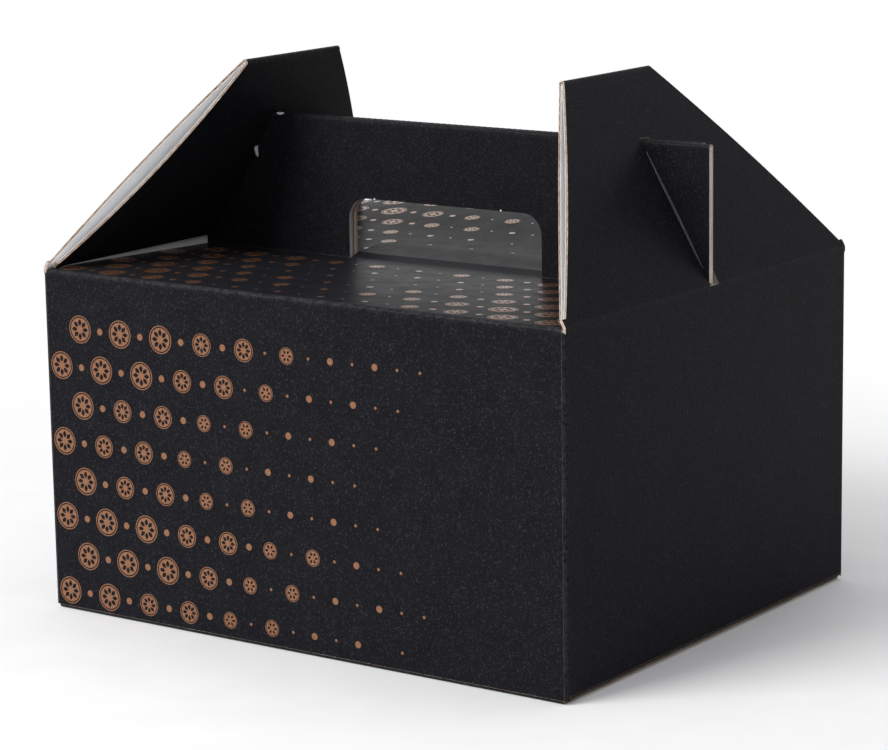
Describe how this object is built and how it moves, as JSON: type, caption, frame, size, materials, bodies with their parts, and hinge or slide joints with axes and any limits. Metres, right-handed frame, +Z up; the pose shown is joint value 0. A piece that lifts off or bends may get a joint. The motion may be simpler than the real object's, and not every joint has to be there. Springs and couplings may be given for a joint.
{
  "type": "bottle shipping box",
  "caption": "Folded corrugated carton for bottles, with an upright doubled carrying handle held by two slotted end flaps that hook over its ends.",
  "frame": {"origin": "centre of the base, on the surface that the box stands on", "axes": "+X along the handle to the right, +Y to the rear, +Z up; the front wall faces -Y"},
  "size_m": [0.305, 0.254, 0.2677],
  "materials": {
    "printed_board": "black-printed corrugated board, satin, white liner inside",
    "white_liner": "uncoated white liner paper, matt",
    "kraft_board": "plain kraft corrugated board, matt",
    "copper_ink": "copper-coloured printing ink, low sheen"
  },
  "bodies": {
    "carton": {"carton_body": "printed_board", "front_divider": "kraft_board", "rear_divider": "kraft_board", "layer_board": "kraft_board"},
    "left_flap": {"left_end_flap": "printed_board"},
    "right_flap": {"right_end_flap": "printed_board"}
  },
  "joints": [
    {"name": "left_flap_hinge", "type": "hinge", "parent": "carton", "child": "left_flap", "pos_m": [-0.1525, 0, 0.1713], "axis": [0, -1, 0], "range_deg": [0, 195]},
    {"name": "right_flap_hinge", "type": "hinge", "parent": "carton", "child": "right_flap", "pos_m": [0.1525, 0, 0.1713], "axis": [0, 1, 0], "range_deg": [0, 195]}
  ]
}
